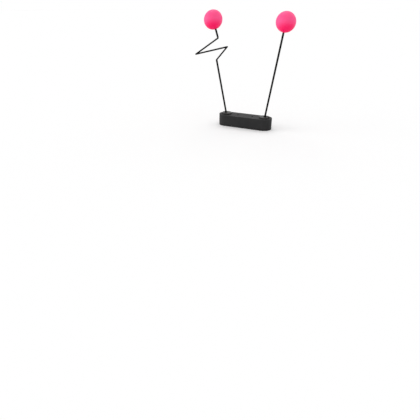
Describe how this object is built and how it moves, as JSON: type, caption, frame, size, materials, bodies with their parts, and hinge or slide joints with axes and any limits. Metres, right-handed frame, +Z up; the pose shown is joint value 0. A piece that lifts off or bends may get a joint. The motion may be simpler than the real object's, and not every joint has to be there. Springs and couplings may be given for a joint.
{
  "type": "rabbit ears antenna",
  "caption": "Panel-mounted rabbit ears antenna: a straight telescopic ear and a zigzag ear with pink ball tips, each swivelling and tilting in a turret of a hidden moulded base.",
  "frame": {"origin": "middle of the base's flat top, which bears on the underside of the panel that it is fixed under", "axes": "+Z up along the swivel axes, +X to the viewer's right, towards the straight ear, +Y to the rear, towards the terminals"},
  "size_m": [0.2289, 0.0419, 0.2457],
  "materials": {
    "ball_pink": "matte moulded hot pink",
    "rod_black": "satin black lacquer on tube",
    "base_charcoal": "fine spark texture, charcoal",
    "blackened_metal": "blackened turned brass",
    "brass": "bright brass",
    "spring_steel": "plain steel",
    "wire_sleeve": "black sleeve"
  },
  "bodies": {
    "base": {"base_housing": "base_charcoal", "bottom_cover": "base_charcoal", "cover_screw_1": "spring_steel", "cover_screw_2": "spring_steel", "cover_screw_3": "spring_steel", "cover_screw_4": "spring_steel", "solder_lug_left": "brass", "solder_lug_right": "brass", "lead_wire_left": "wire_sleeve", "lead_wire_right": "wire_sleeve", "terminal_screw_left": "brass", "terminal_screw_right": "brass", "terminal_clamp_left": "brass", "terminal_clamp_right": "brass", "terminal_nut_left": "brass", "terminal_nut_right": "brass"},
    "left_turret": {"turret_left": "blackened_metal", "hinge_pin_left": "spring_steel", "wave_washer_left": "spring_steel", "swivel_nut_left": "brass"},
    "right_turret": {"turret_right": "blackened_metal", "hinge_pin_right": "spring_steel", "wave_washer_right": "spring_steel", "swivel_nut_right": "brass"},
    "left_ear": {"knuckle_left": "blackened_metal", "hinge_washer_left_front": "spring_steel", "hinge_washer_left_back": "spring_steel", "lower_tube_left": "rod_black"},
    "right_ear": {"knuckle_right": "blackened_metal", "hinge_washer_right_front": "spring_steel", "hinge_washer_right_back": "spring_steel", "outer_tube_right": "rod_black"},
    "left_zigzag": {"zigzag_rod_left": "rod_black", "tip_ferrule_left": "rod_black", "tip_ball_left": "ball_pink"},
    "right_middle": {"middle_tube_right": "rod_black"},
    "right_inner": {"inner_rod_right": "rod_black", "tip_ferrule_right": "rod_black", "tip_ball_right": "ball_pink"}
  },
  "joints": [
    {"name": "left_swivel", "type": "hinge", "parent": "base", "child": "left_turret", "pos_m": [-0.0475, 0, 0], "axis": [0, 0, 1], "range_deg": [-90, 90]},
    {"name": "right_swivel", "type": "hinge", "parent": "base", "child": "right_turret", "pos_m": [0.0475, 0, 0], "axis": [0, 0, 1], "range_deg": [-90, 90]},
    {"name": "left_tilt", "type": "hinge", "parent": "left_turret", "child": "left_ear", "pos_m": [-0.0475, 0, -0.006], "axis": [0, -1, 0], "range_deg": [-12.5, 32.5]},
    {"name": "right_tilt", "type": "hinge", "parent": "right_turret", "child": "right_ear", "pos_m": [0.0475, 0, -0.006], "axis": [0, 1, 0], "range_deg": [-8.6, 36.4]},
    {"name": "left_slide", "type": "slide", "parent": "left_ear", "child": "left_zigzag", "axis": [-0.2164, 0, 0.9763], "range_m": [0, 0.09]},
    {"name": "right_middle_slide", "type": "slide", "parent": "right_ear", "child": "right_middle", "axis": [0.1495, 0, 0.9888], "range_m": [0, 0.14]},
    {"name": "right_inner_slide", "type": "slide", "parent": "right_middle", "child": "right_inner", "axis": [0.1495, 0, 0.9888], "range_m": [0, 0.14]}
  ]
}
